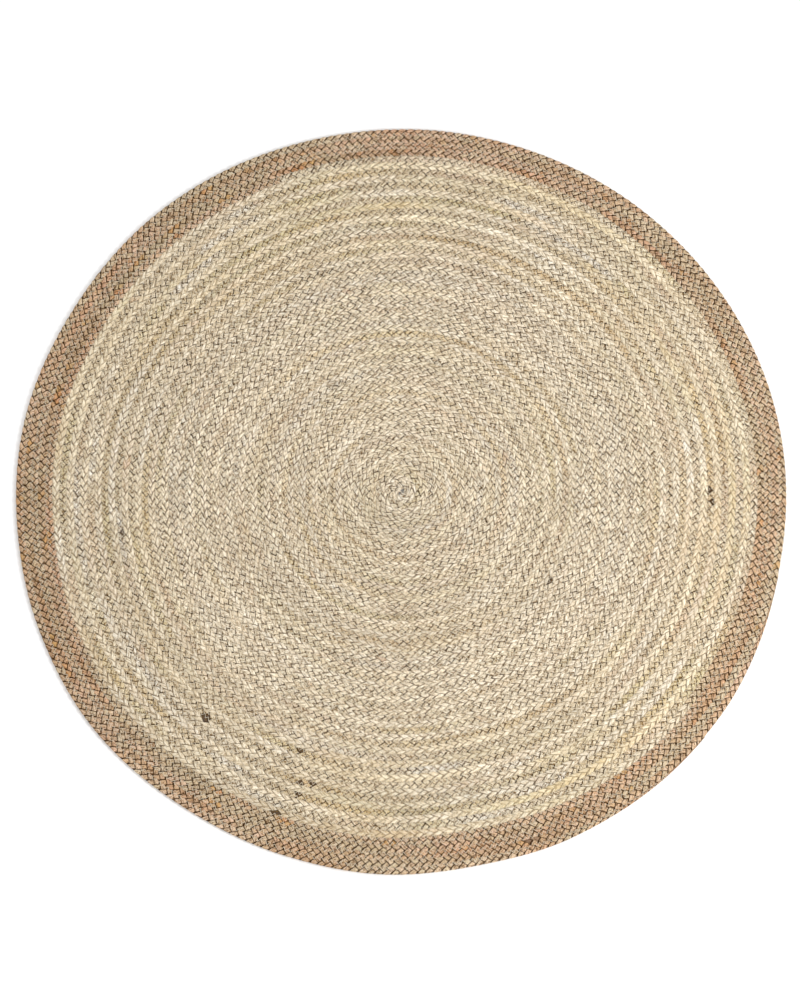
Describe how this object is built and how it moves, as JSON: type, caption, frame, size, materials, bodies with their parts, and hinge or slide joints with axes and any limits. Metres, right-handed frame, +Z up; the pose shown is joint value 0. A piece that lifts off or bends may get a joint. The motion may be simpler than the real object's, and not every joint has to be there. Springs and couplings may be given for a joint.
{
  "type": "round jute rug",
  "caption": "Flat round floor rug of flat-braided jute, wound in a spiral and sewn edge to edge, natural with a brown border.",
  "frame": {"origin": "on the floor, under the middle of the rug's bounding box", "axes": "+Z up out of the rug's top face, -Y towards the camera, +X to the camera's right"},
  "size_m": [1.497, 1.5014, 0.009],
  "materials": {
    "natural_jute": "braided jute fibre, matt, straw and grey-beige",
    "brown_jute": "braided jute fibre, matt, pinkish grey-brown",
    "sewing_thread": "off-white twisted cotton thread"
  },
  "bodies": {
    "root": {"field_coil": "natural_jute", "border_coil": "brown_jute"}
  },
  "joints": []
}
